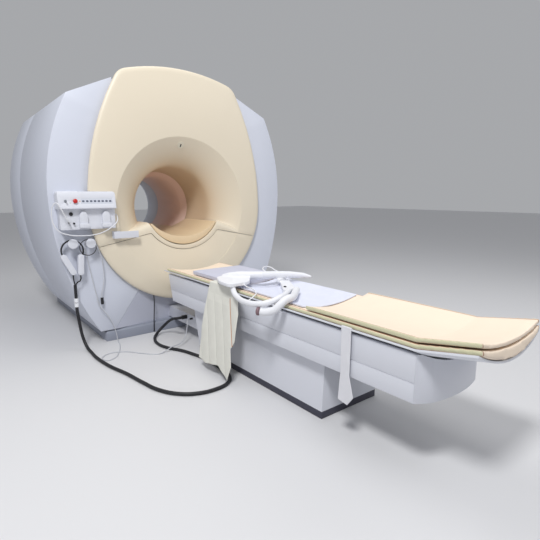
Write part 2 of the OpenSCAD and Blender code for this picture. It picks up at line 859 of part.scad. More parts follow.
module headphone_band() {
    color("#26262a") along_y(band_y - band_w / 2, band_y + band_w / 2)
        translate([hook_x[0], band_z]) difference() {
            circle(band_r + band_t);
            circle(band_r);
            polygon([[-far, -far], [far, -far], [far, cup_high[1][1] + cup_r / 2],
                [0, cup_high[1][1] + cup_r / 2], [0, cup_high[0][1]], [-far, cup_high[0][1]]]);
            for (c = cup_high) translate(c) circle(cup_r + seat);
        }
}

module headphone_cups() {
    color("#e9ebf0") along_y(band_y - cup_w / 2, band_y + cup_w / 2)
        translate([hook_x[0], band_z])
            for (i = [0, 1]) capsule(cup_high[i], cup_low[i], cup_r);
}

// The tubes from the cups down to their join, the trunk under it and its collars
join_z = 531;
collar_z = [361, 399];
collar_h = 33;
trunk_r = 12;
module cable_collars() {
    color("#26262a") {
        for (c = cup_low) ear_lead(c[0], band_z + c[1] - cup_r - seat);
        translate([hook_x[0], band_y, collar_z[0]])
            cylinder(h = join_z + trunk_r - collar_z[0], r = trunk_r);
        for (z = collar_z) translate([hook_x[0], band_y, z]) cylinder(h = collar_h, r = 17);
    }
}

module ear_lead(dx, top) {
    at = [hook_x[0], band_y];
    tube([[at[0] + dx, at[1], top], [at[0] + dx, at[1], top - 30],
        [at[0] + dx * 0.8, at[1], top - 50], [at[0] + dx * 0.4, at[1], join_z + 32],
        [at[0] + dx * 0.15, at[1], join_z + 14], [at[0] + dx * 0.1, at[1], join_z]], 10, 10);
}

module front_shelf() {
    left = -683;
    right = -475;
    arm_right = -615;
    low = 902;
    high = 959;
    front = face_y - 55;
    back = face_y - seat;
    t = 5;
    color("#f4f4f6") {
        block([left, front, low], [right, front + t, high]);
        block([left, front + t, low], [right, face_y - 30, low + t]);
        block([left, face_y - 30, low], [arm_right, back, low + t]);
        block([left, back - t, low + t], [arm_right, back, high]);
    }
}
/* Cords */

module headset_hose() { color("#1e1e22") tube(hose_route, hose_d, 10); }
module hook_cable() { color("#b4b6bc") tube(hook_cable_route, cable_d, 8); }
module handset_cord() { color("#d2d3d8") tube(handset_cord_route, cable_d, 8); }
module drop_cable() { color("#2c2c30") tube(drop_cable_route, drop_cable_d, 8); }

module hook_cable_plug() {
    h = 56;
    color("#2a2a2e") translate(hook_cable_route[0] - [0, 0, h + seat]) cylinder(h = h, r = 12);
}

// The plugs at the duct's side
module connector_plugs() {
    hose_end = hose_route[len(hose_route) - 1];
    cable_end = hook_cable_route[len(hook_cable_route) - 1];
    color("#26262a") {
        translate(hose_end + [seat, 0, 0]) rotate([0, 90, 0])
            cylinder(h = -duct_x - duct_boss - 2 * seat - hose_end[0], r = 18);
        translate(cable_end + [seat, 0, 0]) rotate([0, 90, 0])
            cylinder(h = -duct_x - 2 * seat - cable_end[0], r = 8);
    }
}

/* Magnet and coils */

module magnet_vessel() {
    dish = 60;
    color("#d9dde0") about_bore() polygon([[warm_bore_r, -vessel_half],
        [vessel_r - dish, -vessel_half], [vessel_r - 12, dish / 2 - vessel_half],
        [vessel_r, dish - vessel_half], [vessel_r, vessel_half - dish],
        [vessel_r - 12, vessel_half - dish / 2], [vessel_r - dish, vessel_half],
        [warm_bore_r, vessel_half]]);
}

module magnet_feet() {
    foot_x = [380, 620];
    foot_len = 200;
    top_z = axis_z - 500;
    color("#70757f") difference() {
        on_both_sides() for (y = [-0.8 * vessel_half, 0.8 * vessel_half - foot_len])
            block([foot_x[0], y, cover_foot_z + seat], [foot_x[1], y + foot_len, top_z]);
        bar_y(0, axis_z, vessel_r + seat, -far, far);
    }
}

coil_half = 560;
module gradient_coil() {
    color("#c7a24b") about_bore() polygon([[gradient_in_r, -coil_half],
        [gradient_in_r + gradient_wall, -coil_half],
        [gradient_in_r + gradient_wall, coil_half], [gradient_in_r, coil_half]]);
}

module coil_wedges() {
    low = gradient_in_r + gradient_wall + seat;
    high = warm_bore_r - seat;
    half = coil_half - 60;
    color("#3d6a8a") for (a = [0:45:315]) translate([0, 0, axis_z]) rotate([0, a, 0])
        block([low, -half, -20], [low + 0.8 * (high - low), half, 20]);
}

module body_coil() {
    former_r = 320;
    former_y = [-220, 300];
    ring_w = 24;
    color("#b87333") {
        about_bore() polygon([[former_r, former_y[0]], [former_r + 8, former_y[0]],
            [former_r + 8, former_y[1]], [former_r, former_y[1]]]);
        for (y = [former_y[0], former_y[1] - 8]) about_bore()
            polygon([[bore_r + liner_wall + seat, y], [gradient_in_r - seat, y],
                [gradient_in_r - seat, y + 8], [bore_r + liner_wall + seat, y + 8]]);
        for (y = [former_y[0] + 20, former_y[1] - 20 - ring_w]) about_bore()
            polygon([[former_r + 7, y], [former_r + 12, y], [former_r + 12, y + ring_w],
                [former_r + 7, y + ring_w]]);
        for (a = [0:360 / rungs:359]) translate([0, 0, axis_z]) rotate([0, a, 0])
            block([former_r + 6, former_y[0] + 30, -12], [former_r + 12, former_y[1] - 30, 12]);
    }
}

turret_y = 100;
quench_y = 450;
quench_r = 60;
module cold_head() {
    seat_z = axis_z + vessel_r;
    color("#a9b0b8") difference() {
        union() {
            translate([0, turret_y, seat_z - 40]) cylinder(h = 70, r = 130);
            translate([0, turret_y, seat_z]) cylinder(h = 90, r = 70);
            translate([0, turret_y, seat_z + 90]) cylinder(h = 70, r = 50);
        }
        bar_y(0, axis_z, vessel_r + seat, -far, far);
    }
}

module quench_pipe() {
    seat_z = axis_z + vessel_r;
    top = cream_top_z + 40;
    color("#c4c8cc") difference() {
        union() {
            translate([0, quench_y, seat_z - 40]) cylinder(h = 60, r = 110);
            translate([0, quench_y, seat_z]) cylinder(h = top - seat_z, r = quench_r);
            translate([0, quench_y, top - 10]) cylinder(h = 10, r = quench_r + 25);
        }
        bar_y(0, axis_z, vessel_r + seat, -far, far);
        translate([0, quench_y, seat_z + 30]) cylinder(h = top, r = quench_r - 4);
    }
}

/* Patient table: pedestal and lift */

module table_base_plate() {
    color("#3c3c48") block([-pedestal_x, pedestal_foot_y, 0],
        [pedestal_x, pedestal_head_y, table_plate_h]);
}

shroud_top_z = beam_z - 10;
sleeve_gap = 5;
shroud_wall = 4;
middle_x = pedestal_top_x - shroud_wall - sleeve_gap;
middle_foot_y = pedestal_foot_y + shroud_wall + sleeve_gap + 12;
middle_head_y = pedestal_head_y - shroud_wall - sleeve_gap;
sleeve_wall = 3;
column_y = [pedestal_head_y - 300, pedestal_foot_y + 310];
column_gap = 0.4;
column_wall = 8;
column_foot_z = table_plate_h;
frame_z = beam_z + 5;

// The shroud's outside, set in by d
module shroud_body(d) {
    hull() {
        block([d - pedestal_x, pedestal_foot_y + d, table_plate_h],
            [pedestal_x - d, pedestal_head_y - d, table_plate_h + slice]);
        block([d - pedestal_top_x, pedestal_foot_y + d + 6, shroud_top_z - slice - d],
            [pedestal_top_x - d, pedestal_head_y + pedestal_lean - d, shroud_top_z - d]);
    }
}

module pedestal_shroud() {
    color("#bcc0cc") difference() {
        shroud_body(0);
        shroud_body(shroud_wall);
        block([shroud_wall - pedestal_x, pedestal_foot_y + shroud_wall, 0],
            [pedestal_x - shroud_wall, pedestal_head_y - shroud_wall, table_plate_h + 1]);
        block([-middle_x - sleeve_gap / 2, middle_foot_y - sleeve_gap / 2, 0],
            [middle_x + sleeve_gap / 2, middle_head_y + sleeve_gap / 2, far]);
    }
}

// A rectangular sleeve set in by d, from z0 to z1
module sleeve(d, z0, z1) {
    difference() {
        block([d - middle_x, middle_foot_y + d, z0], [middle_x - d, middle_head_y - d, z1]);
        block([d + sleeve_wall - middle_x, middle_foot_y + d + sleeve_wall, z0 - past],
            [middle_x - d - sleeve_wall, middle_head_y - d - sleeve_wall, z1 + past]);
    }
}

module middle_sleeve() {
    color("#a8acb8") sleeve(0, table_plate_h + seat, shroud_top_z);
}

module inner_sleeve() {
    color("#9a9eaa") sleeve(sleeve_wall + sleeve_gap, table_plate_h + 10, frame_z);
}

// Two tubes of the lifting columns
module columns(stage, z0, z1) {
    r = column_r - stage * (column_wall + column_gap);
    for (y = column_y) translate([0, y, z0]) difference() {
        cylinder(h = z1 - z0, r = r);
        translate([0, 0, -past]) cylinder(h = z1 - z0 + 2 * past, r = r - column_wall);
    }
}

module column_outer_tubes() {
    color("#8f949e") columns(0, column_foot_z, shroud_top_z - 15);
}
module column_middle_tubes() {
    color("#b0b4bc") columns(1, column_foot_z + seat, shroud_top_z - 10);
}
module column_inner_tubes() {
    color("#c8ccd2") columns(2, column_foot_z + 10, frame_z);
}

/* Patient table: beam */

beam_wall = 5;
lip_in = 25;
seam_z = 440;
groove = 2;
// How far the tabletop slides towards the bore
slide_travel = 80;
frame_x = [120, 170];
rail_x = [frame_x[1] - 20, frame_x[1]];
// The frame ends inside the beam and behind the way that the rising foot slides
frame_foot_y = max(kink_y + slide_travel + 10, beam_foot_y + 20);
cross_y = [beam_head_y - 170, column_y[0], column_y[1], frame_foot_y + 130];

// Height of the tabletop's underside at a distance x from its middle
function under_top(x) = trough_z + trough_r - sqrt(trough_r * trough_r - x * x);
rail_top = under_top(rail_x[0]) - seat;
frame_top = under_top(frame_x[0]) - 3;

// What lies ahead of the beam's leaning head end, moved back by d
module beyond_head(d) {
    lean = beam_lean / (beam_top_z - beam_z);
    translate([-far, 0, 0]) rotate([90, 0, 90]) linear_extrude(2 * far)
        polygon([[beam_head_y - d + lean * far, beam_top_z + far],
            [beam_head_y - d - lean * beam_top_z, 0], [0, 0], [0, beam_top_z + far]]);
}

module beam_cover() {
    w = beam_x - pedestal_top_x;
    color("#babeca") difference() {
        along_y(beam_foot_y, beam_head_y) difference() {
            translate([pedestal_top_x, beam_z]) square([w, beam_top_z - beam_z]);
            translate([pedestal_top_x - past, beam_z + beam_wall])
                square([w + past - beam_wall, beam_top_z - beam_z - 2 * beam_wall]);
            translate([pedestal_top_x - past, beam_top_z - 2 * beam_wall])
                square([w + past - lip_in, 3 * beam_wall]);
            translate([beam_x - groove, seam_z - groove]) square([2 * groove, 2 * groove]);
        }
        beyond_head(0);
    }
}

module beam_cover_right() { beam_cover(); }
module beam_cover_left() { mirror([1, 0, 0]) beam_cover(); }

end_arc_r = 780;
module beam_end_cover() {
    color("#babeca") difference() {
        translate([0, 0, beam_z]) union() {
            linear_extrude(beam_top_z - beam_z) difference() {
                end_plan(0);
                end_plan(beam_wall);
            }
            linear_extrude(beam_wall) end_plan(0);
        }
        bar_y(0, trough_z + trough_r, trough_r + 2, end_tip_y - past, beam_foot_y + past);
    }
}

// Plan of the beam's foot end: chamfered corners and a gentle arc
module end_plan(d) {
    corner = 200;
    corner_y = beam_foot_y - 45;
    start_y = beam_foot_y - seat + (d > 0 ? past : 0);
    intersection() {
        translate([0, end_tip_y + end_arc_r]) circle(end_arc_r - d, $fn = 180);
        polygon([[d - beam_x, start_y], [beam_x - d, start_y],
            [beam_x - d, beam_foot_y - 1], [corner - d, corner_y + d],
            [corner - d, end_tip_y - past], [d - corner, end_tip_y - past],
            [d - corner, corner_y + d], [d - beam_x, beam_foot_y - 1]]);
    }
}

module beam_head_cover() {
    half_w = beam_x - beam_wall - seat;
    low = beam_z + beam_wall + seat;
    high = trough_z - 10;
    color("#babeca") difference() {
        block([-half_w, beam_head_y - 2 * beam_lean, low], [half_w, beam_head_y, high]);
        beyond_head(0);
        difference() {
            block([-half_w - past, beam_head_y - far, 0], [half_w + past, 0, far]);
            beyond_head(beam_wall);
        }
    }
}

module beam_frame() {
    head_y = beam_head_y - beam_lean - 30;
    foot_y = frame_foot_y;
    cross_x = beam_x - beam_wall - seat;
    color("#7d828c") {
        on_both_sides() {
            block([frame_x[0], foot_y, frame_z], [frame_x[1], head_y, frame_top]);
            block([rail_x[0], foot_y, frame_top], [rail_x[1], head_y, rail_top]);
        }
        for (y = cross_y) difference() {
            block([-cross_x, y - 80, frame_z + seat], [cross_x, y + 80, frame_z + 30]);
            translate([0, y, frame_z - past]) cylinder(h = 100, r = 20);
        }
    }
}

/* Patient table: top and soft parts */

// Cross section of the trough between two heights above its underside
module trough_section(low, high, half_w) {
    intersection() {
        difference() {
            translate([0, trough_z + low + trough_r]) circle(trough_r, $fn = 240);
            translate([0, trough_z + high + trough_r]) circle(trough_r, $fn = 240);
        }
        translate([-half_w, 0]) square([2 * half_w, rim_z + 200]);
    }
}

// The rising foot end turns about a line below the kink
pivot_z = trough_z - 20;
// The rising part is this much narrower on each side
side_taper = 0.5;

module on_rise(foot_len) {
    translate([0, kink_y, pivot_z]) rotate([-kink_rise, 0, 0]) translate([0, 0, -pivot_z])
        along_y(-foot_len, 0) children();
}

module tabletop() {
    color("#e4e6ec") {
        along_y(kink_y, top_head_y) trough_section(0, top_t, top_x);
        on_rise(kink_len) trough_section(0, top_t, top_x - side_taper);
    }
}

// From a height above the trough up to the dished top
module pad_section(half_w, lift) {
    intersection() {
        translate([0, trough_z + top_t + seat + lift + trough_r]) circle(trough_r, $fn = 240);
        difference() {
            translate([-half_w, axis_z / 4]) square([2 * half_w, mattress_z - axis_z / 4]);
            translate([0, mattress_mid + dish_r]) circle(dish_r, $fn = fine);
        }
    }
}

// A layer that lies on the dished top, between two heights above it
module dish_layer(low, high, half_w) {
    intersection() {
        difference() {
            translate([0, mattress_mid + low + dish_r]) circle(dish_r, $fn = fine);
            translate([0, mattress_mid + high + dish_r]) circle(dish_r, $fn = fine);
        }
        translate([-half_w, 0]) square([2 * half_w, mattress_z + 100]);
    }
}

// The level parts of the soft pieces end a little before the rising parts, and these are
// a little higher on what carries them, so that they clear it at the kink
module mattress() {
    foot = kink_y + 12;
    lift = 2;
    color("#fdf0dc") {
        along_y(foot, top_head_y - 20) pad_section(mattress_x, 0);
        on_rise(kink_len + 15) pad_section(mattress_x - side_taper, lift);
    }
}

fold_head_y = top_head_y - 1815;
module foot_mattress() {
    foot = kink_y + 20;
    lift = 2.5;
    w = mattress_x - 1;
    color("#fdf0dc") {
        along_y(foot, fold_head_y) dish_layer(seat, fold_t, w);
        on_rise(kink_len + 15) dish_layer(seat + lift, fold_t, w - side_taper);
    }
}

head_pad_len = 540;
head_pad_y = top_head_y - 420;
module head_pad() {
    color("#c6c6d2") along_y(head_pad_y - head_pad_len, head_pad_y) intersection() {
        translate([0, mattress_mid + seat + dish_r]) circle(dish_r, $fn = fine);
        translate([-head_pad_x, 0]) square([2 * head_pad_x, head_pad_z]);
    }
}

flat_pad_len = 785;
flat_pad_y = head_pad_y - head_pad_len - 10;
module flat_pad() {
    color("#e1e4f2") along_y(flat_pad_y - flat_pad_len, flat_pad_y)
        dish_layer(seat, flat_pad_t, head_pad_x + 5);
}

/* The coil on the flat pad: points from its own middle, heights from the floor */

coil_y = top_head_y - 1100;
plate_z = head_pad_z + seat;
plate_t = 26;
plate_outline = [[-289, 213], [-12, 210], [-60, 110], [-195, -76], [-366, -79], [-354, 69]];
paddle_outline = [[82, -65], [198, -23], [26, -301], [-75, -295]];
paddle_z = 642;
hoop_route = [[-250, 40, 668], [-285, 0, 666], [-306, -30, 656], [-322, -62, 634],
    [-334, -96, 616], [-356, -160, 608], [-380, -239, 606], [-402, -330, 612],
    [-408, -400, 619], [-380, -471, 629], [-320, -501, 645], [-262, -487, 655],
    [-209, -455, 650], [-120, -376, 638], [-30, -299, 632]];
tail_route = [[17, -321, 634], [-60, -392, 634], [-133, -463, 640], [-216, -540, 656],
    [-258, -558, 660], [-296, -563, 652], [-326, -556, 628], [-350, -538, 600],
    [-378, -496, 584], [-400, -465, 585]];
wing_route = [[-230, 215, 673], [-201, 177, 681], [-150, 120, 687], [-101, 84, 686],
    [-28, 13, 688], [76, -19, 684], [175, -61, 680], [260, -120, 674], [290, -178, 668]];
wing_d = [34, 48, 58, 58, 58, 56, 52, 40, 16];
handle_route = [[60, 60, 690], [75, 126, 700], [110, 180, 702], [158, 222, 702],
    [199, 240, 700], [196, 190, 700], [182, 148, 698], [160, 90, 694], [140, -30, 686]];
brace_route = [[-239, -50, 664], [-248, -120, 654], [-250, -178, 652], [-268, -240, 651],
    [-300, -292, 645], [-350, -315, 630], [-396, -327, 617]];

module coil_hoop() {
    color("#f0f0f5") translate([0, coil_y, 0]) {
        tube(smoothed(hoop_route, 3), hoop_d, 16);
        tube(wing_route, wing_d, 16);
        tube(handle_route, 13, 8);
        tube(brace_route, 11, 8);
        translate([0, 0, plate_z]) linear_extrude(plate_t) polygon(softened(plate_outline, 0.25));
        paddle();
    }
}

// The flat paddle on the pad, and its neck under the wing
module paddle() {
    clear = mattress_mid + flat_pad_t + seat;
    intersection() {
        translate([0, 0, mattress_mid]) linear_extrude(paddle_z - mattress_mid)
            polygon(softened(paddle_outline, 0.2));
        bar_y(0, clear + dish_r, dish_r, -far, far);
    }
    translate([70, -75, paddle_z - 8]) rotate([0, 0, 20]) cube([90, 30, 26]);
}

// The thick tube that reaches over the table's edge
module coil_arm() {
    color("#f0f0f5") translate([0, coil_y, 0]) tube(smoothed(tail_route, 3), tail_d, 16);
}

/* The cloth over the table's left edge, and the strap */

cloth_x = -top_x - 11;
cloth_t = 5;
cloth_lean = 11;
cloth_top_z = mattress_z + seat;
cloth_y = top_head_y - 815;
// Along the table from the cloth's near edge, and down from its top
cloth_outline = [[0, 0], [15, -340], [-10, -565], [-111, -580], [-276, -550], [-403, -611],
    [-427, -515], [-388, -400], [-425, -347], [-418, -157], [-391, -80], [-345, -28],
    [-295, 0]];
module cloth() {
    fold_in = 49;
    color("#dcd8cd") {
        translate([cloth_x, cloth_y, cloth_top_z]) rotate([0, cloth_lean, 0])
            translate([-cloth_t, 0, 0]) rotate([90, 0, 90]) linear_extrude(cloth_t)
            polygon(cloth_outline);
        along_y(cloth_y - 270, cloth_y) polygon([[cloth_x - cloth_t, cloth_top_z - 2],
            [cloth_x, cloth_top_z - 3], [cloth_x + 8, cloth_top_z], [cloth_x + fold_in, cloth_top_z],
            [cloth_x + fold_in, cloth_top_z + cloth_t], [cloth_x, cloth_top_z + cloth_t]]);
    }
}

strap_y = top_head_y - 2104;
strap_t = 4;
// Along the table from the strap's near edge, heights from the rim down
strap_outline = [[0, 4], [-2, -251], [11, -401], [-55, -411], [-93, -359], [-63, -251],
    [-67, 4]];
module strap() {
    face = -top_x - seat;
    color("#e1e1e6") translate([0, strap_y, rim_z + seat]) {
        translate([face - strap_t, 0, 0]) rotate([90, 0, 90]) linear_extrude(strap_t)
            polygon(strap_outline);
        block([face - strap_t, strap_outline[6][0], 0], [-mattress_x - 1, 0, 4]);
    }
}

/* Docking duct */

duct_x = 150;
duct_z = [110, 215];
duct_boss = 10;
module cable_duct() {
    boss = hose_route[len(hose_route) - 1];
    color("#c9ccd6") {
        difference() {
            block([-duct_x, pedestal_head_y, duct_z[0]], [duct_x, face_y + past, duct_z[1]]);
            shroud_body(-seat);
        }
        intersection() {
            block([-duct_x, face_y, duct_z[0]], [duct_x, valley_low_y, duct_z[1]]);
            valley(-seat);
        }
        translate([-duct_x, boss[1], boss[2]]) rotate([0, -90, 0])
            cylinder(h = duct_boss, r = 20);
    }
}

base_plate();
front_cover_upper();
front_cover_lower();
lower_front_panel();
side_cover_left();
side_cover_right();
side_cover_rear_left();
side_cover_rear_right();
rear_cover();
top_cover();
bore_liner();
bore_bridge();
alignment_lights();
control_box();
key_pad();
stop_button();
key_switch();
panel_sockets();
handsets();
cable_hooks();
front_shelf();
headphone_band();
headphone_cups();
cable_collars();
headset_hose();
hook_cable();
hook_cable_plug();
handset_cord();
drop_cable();
magnet_vessel();
magnet_feet();
gradient_coil();
body_coil();
coil_wedges();
cold_head();
quench_pipe();
table_base_plate();
pedestal_shroud();
cable_duct();
connector_plugs();
beam_cover_left();
beam_cover_right();
beam_end_cover();
beam_head_cover();
tabletop();
mattress();
foot_mattress();
head_pad();
flat_pad();
coil_hoop();
coil_arm();
cloth();
strap();
column_outer_tubes();
column_middle_tubes();
column_inner_tubes();
middle_sleeve();
inner_sleeve();
beam_frame();
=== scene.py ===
# %% [markdown]
# A closed-bore MRI scanner with its patient table. The construction comes from the
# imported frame, and this file gives it its looks: covers with soft edges, padded
# upholstery, real cords and a finish on every surface. All lengths are in metres.

# %% The frame
import json
import math

import bpy
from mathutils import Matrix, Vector

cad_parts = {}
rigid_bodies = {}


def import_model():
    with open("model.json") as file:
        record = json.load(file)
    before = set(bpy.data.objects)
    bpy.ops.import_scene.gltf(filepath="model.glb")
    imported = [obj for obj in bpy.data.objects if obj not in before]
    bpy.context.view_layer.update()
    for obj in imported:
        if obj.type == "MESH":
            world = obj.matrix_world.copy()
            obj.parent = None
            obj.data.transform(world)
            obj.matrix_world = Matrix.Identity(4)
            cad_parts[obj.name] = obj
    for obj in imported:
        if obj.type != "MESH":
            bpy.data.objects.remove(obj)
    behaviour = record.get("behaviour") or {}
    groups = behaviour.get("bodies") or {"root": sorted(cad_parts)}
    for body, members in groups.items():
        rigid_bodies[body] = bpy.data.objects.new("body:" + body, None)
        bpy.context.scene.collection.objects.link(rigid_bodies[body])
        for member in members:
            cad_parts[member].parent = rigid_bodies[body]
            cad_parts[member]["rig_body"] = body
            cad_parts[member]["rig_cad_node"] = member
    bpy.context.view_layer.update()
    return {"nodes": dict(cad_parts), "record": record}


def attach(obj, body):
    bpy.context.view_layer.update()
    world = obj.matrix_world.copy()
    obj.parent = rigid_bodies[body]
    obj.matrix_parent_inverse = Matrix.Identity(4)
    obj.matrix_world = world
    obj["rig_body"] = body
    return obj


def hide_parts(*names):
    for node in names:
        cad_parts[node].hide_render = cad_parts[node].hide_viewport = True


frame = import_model()
scene = bpy.context.scene
MM = 0.001
record = frame["record"]
body_of = {node: body for body, nodes in record["behaviour"]["bodies"].items()
           for node in nodes}
slot_of = {part["node"]: part["material_slot"] for part in record["subparts"]}

# %% [markdown]
# The camera stands where the photographer stood: left of the table's foot end, at
# eye height, looking 38 degrees off the bore's axis and a little down.

# %% Camera
CAMERA_PLACE = Vector((-1.876, -4.616, 1.2675))
CAMERA_YAW = math.radians(38.2)
CAMERA_PITCH = math.radians(10)
FOCAL_PIXELS = 431
FRAME_PIXELS = 540
SENSOR = 36.0

camera_data = bpy.data.cameras.new("camera")
camera_data.sensor_width = SENSOR
camera_data.lens = FOCAL_PIXELS / FRAME_PIXELS * SENSOR
camera = bpy.data.objects.new("camera", camera_data)
scene.collection.objects.link(camera)
scene.camera = camera
look = Vector((math.sin(CAMERA_YAW) * math.cos(CAMERA_PITCH),
               math.cos(CAMERA_YAW) * math.cos(CAMERA_PITCH), -math.sin(CAMERA_PITCH)))
camera.location = CAMERA_PLACE
camera.rotation_euler = look.to_track_quat("-Z", "Y").to_euler()
print("lens:", round(camera_data.lens, 2), "mm")

# %% [markdown]
# Shader maths reads best as plain expressions. `Value` wraps a socket, so that adding
# or multiplying two values adds the Math node that does it, and `Paint` is one
# material, whose `node` method adds any other node.

# %% Shader maths
class Value:
    """A socket that can be used in a Python expression."""

    def __init__(self, paint, socket):
        self.paint = paint
        self.socket = socket

    def math(self, operation, other, swapped=False):
        first, second = (other, self) if swapped else (self, other)
        return self.paint.node("ShaderNodeMath", {"operation": operation}, {0: first, 1: second})

    def __add__(self, other):
        return self.math("ADD", other)

    def __sub__(self, other):
        return self.math("SUBTRACT", other)

    def __rsub__(self, other):
        return self.math("SUBTRACT", other, swapped=True)

    def __mul__(self, other):
        return self.math("MULTIPLY", other)

    def size(self):
        """How far the value is from zero."""
        return self.paint.node("ShaderNodeMath", {"operation": "ABSOLUTE"}, {0: self})

    def above(self, edge, width):
        """0 below edge, 1 above edge + width, and a smooth step between."""
        return self.paint.node("ShaderNodeMapRange", {"interpolation_type": "SMOOTHSTEP"},
                               {"Value": self, "From Min": edge, "From Max": edge + width})


def linear(red, green, blue):
    """A colour given as it looks on a screen, 0 to 255, as Blender's linear values."""
    shares = [c / 255 for c in (red, green, blue)]
    return (*[s / 12.92 if s <= 0.04045 else ((s + 0.055) / 1.055) ** 2.4 for s in shares], 1)


class Paint:
    """One material, with short words for adding nodes to it."""

    def __init__(self, name, roughness=0.5, metallic=0.0):
        self.material = bpy.data.materials.new(name)
        self.material.use_nodes = True
        self.tree = self.material.node_tree
        self.shader = self.tree.nodes["Principled BSDF"]
        self.shader.inputs["Roughness"].default_value = roughness
        self.shader.inputs["Metallic"].default_value = metallic

    def node(self, kind, settings, inputs, output=0):
        made = self.tree.nodes.new(kind)
        for key, value in settings.items():
            setattr(made, key, value)
        for key, value in inputs.items():
            self.feed(made.inputs[key], value)
        return Value(self, made.outputs[output])

    def feed(self, socket, value):
        if isinstance(value, Value):
            self.tree.links.new(value.socket, socket)
        else:
            socket.default_value = value

    def surface(self, name, value):
        self.feed(self.shader.inputs[name], value)

    def place(self):
        return self.node("ShaderNodeTexCoord", {}, {}, "Object")

    def axis(self, place, name):
        return self.node("ShaderNodeSeparateXYZ", {}, {0: place}, name)

    def scaled(self, place, factors):
        return self.node("ShaderNodeVectorMath", {"operation": "MULTIPLY"}, {0: place, 1: factors})

    def noise(self, place, scale, detail=3.0):
        return self.node("ShaderNodeTexNoise", {},
                         {"Vector": place, "Scale": scale, "Detail": detail})

    def blend(self, share, first, second):
        return self.node("ShaderNodeMix", {"data_type": "RGBA"},
                         {0: share, 6: first, 7: second}, 2)

    def bump(self, height, distance, strength):
        bumped = self.node("ShaderNodeBump", {}, {"Height": height, "Distance": distance,
                                                  "Strength": strength})
        self.surface("Normal", bumped)


# %% [markdown]
# The covers are moulded and sprayed: a very fine orange peel, faint cloudiness, and
# slightly duller patches where hands and cloths go. The front cover is cream, and a
# painted shade turns it darker tan towards the bore, deeper in the funnel.

# %% Cover paints
CLOUD = 0.06


def sprayed(name, colour, roughness=0.42, peel=0.00012, tint=None):
    """Sprayed paint; `tint` may change its colour from place to place."""
    paint = Paint(name, roughness)
    place = paint.place()
    clouds = paint.noise(place, 2.2, 4.0)
    tone = paint.blend(clouds * CLOUD, linear(*colour), linear(*(c * 0.86 for c in colour)))
    paint.surface("Base Color", tint(paint, place, tone) if tint else tone)
    paint.surface("Roughness", paint.noise(place, 6.0) * 0.12 + (roughness - 0.06))
    paint.bump(paint.noise(place, 420.0, 2.0), peel, 0.35)
    return paint.material


def painted_bore_shade(paint, place, tone):
    """Painted shade: cream at the face, darker tan in the funnel, by depth behind the front face.
    """
    # painted shade: the funnel turns darker and warmer with depth into the bore
    depth = paint.axis(place, "Y").above(-0.945, 0.34)
    return paint.blend(depth * 0.75, tone, linear(200, 172, 140))


cover_cream = sprayed("cover_cream", (227, 216, 195), tint=painted_bore_shade)
cover_silver = sprayed("cover_silver", (208, 212, 224), 0.45)
cover_panel = sprayed("cover_panel", (194, 197, 211), 0.48)
cover_base = sprayed("cover_base", (148, 153, 167), 0.5)
table_paint = sprayed("table_paint", (212, 214, 222), 0.42)
plinth_paint = sprayed("plinth_paint", (58, 58, 72), 0.5)
box_paint = sprayed("box_paint", (218, 220, 228), 0.45, peel=0.0002)
sleeve_paint = sprayed("sleeve_paint", (160, 164, 176), 0.4)
liner_paint = sprayed("liner_paint", (236, 208, 198), 0.35)
bridge_paint = sprayed("bridge_paint", (226, 203, 168), 0.35)
top_paint = sprayed("top_paint", (226, 228, 235), 0.35)
coil_paint = sprayed("coil_paint", (240, 240, 245), 0.35)


def plain(name, colour, roughness=0.5, metallic=0.0, grain=300.0, depth=0.0001):
    """A plastic or a metal of one colour with a fine grain."""
    paint = Paint(name, roughness, metallic)
    place = paint.place()
    tone = paint.noise(place, 30.0)
    paint.surface("Base Color", paint.blend(tone * 0.25, linear(*colour),
                                            linear(*(c * 0.8 for c in colour))))
    paint.bump(paint.noise(place, grain), depth, 0.4)
    return paint.material


black_plastic = plain("black_plastic", (34, 34, 38), 0.55)
key_grey = plain("key_grey", (140, 147, 164), 0.6)
stop_red = plain("stop_red", (196, 40, 32), 0.3, depth=0.00002)
dark_lens = plain("dark_lens", (28, 28, 34), 0.12, depth=0.00001)
steel = plain("steel", (172, 176, 182), 0.35, 0.9, 120.0)
vessel_steel = plain("vessel_steel", (205, 208, 212), 0.4, 0.8, 60.0)
iron = plain("iron", (90, 94, 102), 0.6, 0.4)
resin = plain("resin", (190, 150, 70), 0.4)
metal = plain("metal", (185, 188, 192), 0.38, 0.85, 90.0)

slot_paint = {
    "base_grey": cover_base, "cream": cover_cream, "panel_grey": cover_panel,
    "silver": cover_silver, "liner": liner_paint, "bridge": bridge_paint,
    "dark_glass": dark_lens, "box_white": box_paint, "key_grey": key_grey,
    "stop_red": stop_red, "steel": steel, "black_plastic": black_plastic,
    "vessel_steel": vessel_steel, "iron": iron, "resin": resin,
    "plinth_dark": plinth_paint, "table_grey": table_paint, "top_white": top_paint,
    "coil_white": coil_paint, "aluminium": metal, "sleeve_grey": sleeve_paint,
}


# %% [markdown]
# Cords are made first, because they say how far the object reaches. Each is a curve
# through the same points as its solid in the frame, with a round section.

# %% Cord rubber
CORD_ROUGHNESS = 0.55


def cord_rubber(name, colour):
    """Rubber with a little dust, which lightens it in places."""
    paint = Paint(name, CORD_ROUGHNESS)
    place = paint.place()
    dust = paint.noise(place, 55.0, 3.0)
    paint.surface("Base Color", paint.blend(dust * 0.35, linear(*colour),
                                            linear(*(min(255, c * 1.25 + 12) for c in colour))))
    paint.surface("Roughness", paint.noise(place, 20.0) * 0.2 + (CORD_ROUGHNESS - 0.1))
    paint.bump(paint.noise(place, 600.0), 0.00008, 0.4)
    return paint.material


hose_rubber = cord_rubber("hose_rubber", (26, 26, 30))
cable_sleeve = cord_rubber("cable_sleeve", (182, 184, 190))
handset_sleeve = cord_rubber("handset_sleeve", (214, 215, 220))


